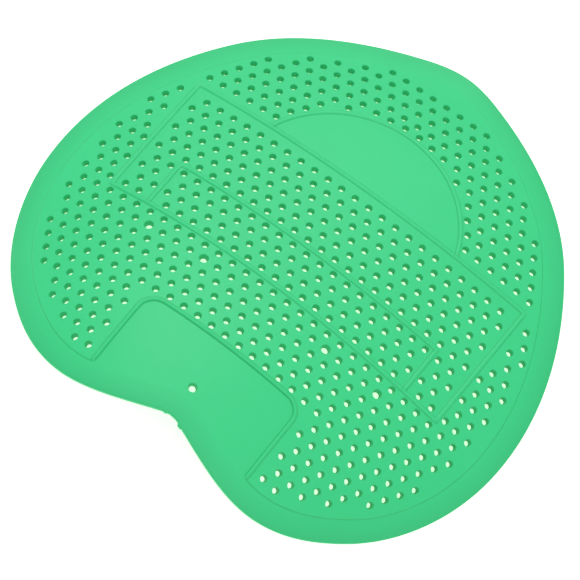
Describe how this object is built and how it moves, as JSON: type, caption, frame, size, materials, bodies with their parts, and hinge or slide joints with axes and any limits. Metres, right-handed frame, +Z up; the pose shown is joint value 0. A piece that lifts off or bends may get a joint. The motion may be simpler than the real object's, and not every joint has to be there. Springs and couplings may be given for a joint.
{
  "type": "urinal deodorizer screen",
  "caption": "Bowed, heart-shaped sheet of soft green vinyl with rows of small drain holes, raised ribs that mark out a rectangle and a part-circle, and a plain pad at its notch.",
  "frame": {"origin": "under the middle of the sheet's box, on the surface that the sheet lies on", "axes": "+Z up, away from that surface; +Y from the notch towards the pointed back; +X to the right, seen from above with the notch nearest"},
  "size_m": [0.1866, 0.185, 0.0299],
  "materials": {
    "vinyl": "satin, slightly translucent"
  },
  "bodies": {
    "root": {"urinal_screen": "vinyl"}
  },
  "joints": []
}
